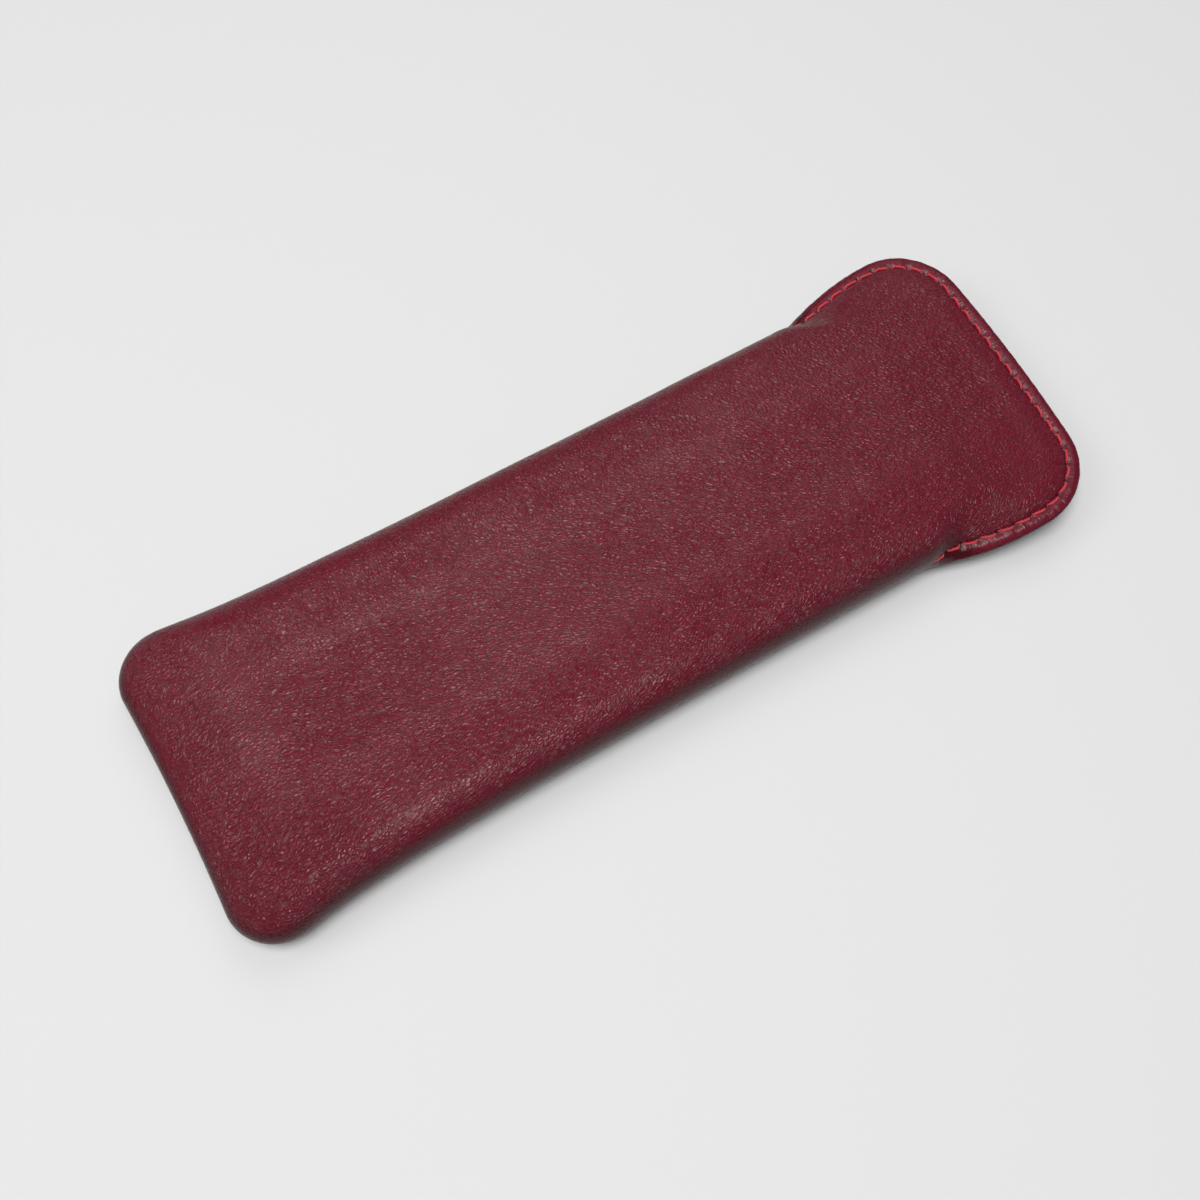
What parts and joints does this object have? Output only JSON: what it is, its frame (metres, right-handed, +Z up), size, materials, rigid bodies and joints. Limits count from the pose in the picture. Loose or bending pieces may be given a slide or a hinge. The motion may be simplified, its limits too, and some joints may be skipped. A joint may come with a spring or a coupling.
{
  "type": "pen sleeve",
  "caption": "Soft leather slip-in sleeve for a single pen, with padded rolled sides, a lined pocket and a wide stitched tongue that lifts off the mouth.",
  "frame": {"origin": "centre of the bounding box at its base, which is the resting face of the under panel", "axes": "+X from the closed end towards the tongue's tip, +Y across the sleeve, +Z up from the under panel towards the tall panel"},
  "size_m": [0.1645, 0.0586, 0.012],
  "materials": {
    "nappa_leather": "semi-gloss burgundy nappa with a fine grain",
    "microfibre": "matt suede-like microfibre",
    "foam": "thin open-cell padding",
    "board": "matt fibre board",
    "red_thread": "twisted polyester thread with a slight sheen",
    "seam_thread": "twisted polyester thread"
  },
  "bodies": {
    "sleeve": {"top_panel": "nappa_leather", "under_panel": "nappa_leather", "top_padding": "foam", "under_padding": "foam", "top_lining": "microfibre", "under_lining": "microfibre", "panel_seam_thread": "seam_thread", "lining_seam_thread": "seam_thread", "mouth_stitching": "red_thread"},
    "tongue": {"tongue_leather": "nappa_leather", "tongue_board": "board", "tongue_lining": "microfibre", "tongue_stitching": "red_thread"}
  },
  "joints": [
    {"name": "tongue_flex", "type": "hinge", "parent": "sleeve", "child": "tongue", "pos_m": [0.05975, 0, 0.01087], "axis": [0, -1, 0], "range_deg": [0, 50], "stiffness_Nm_per_rad": 0.02}
  ]
}
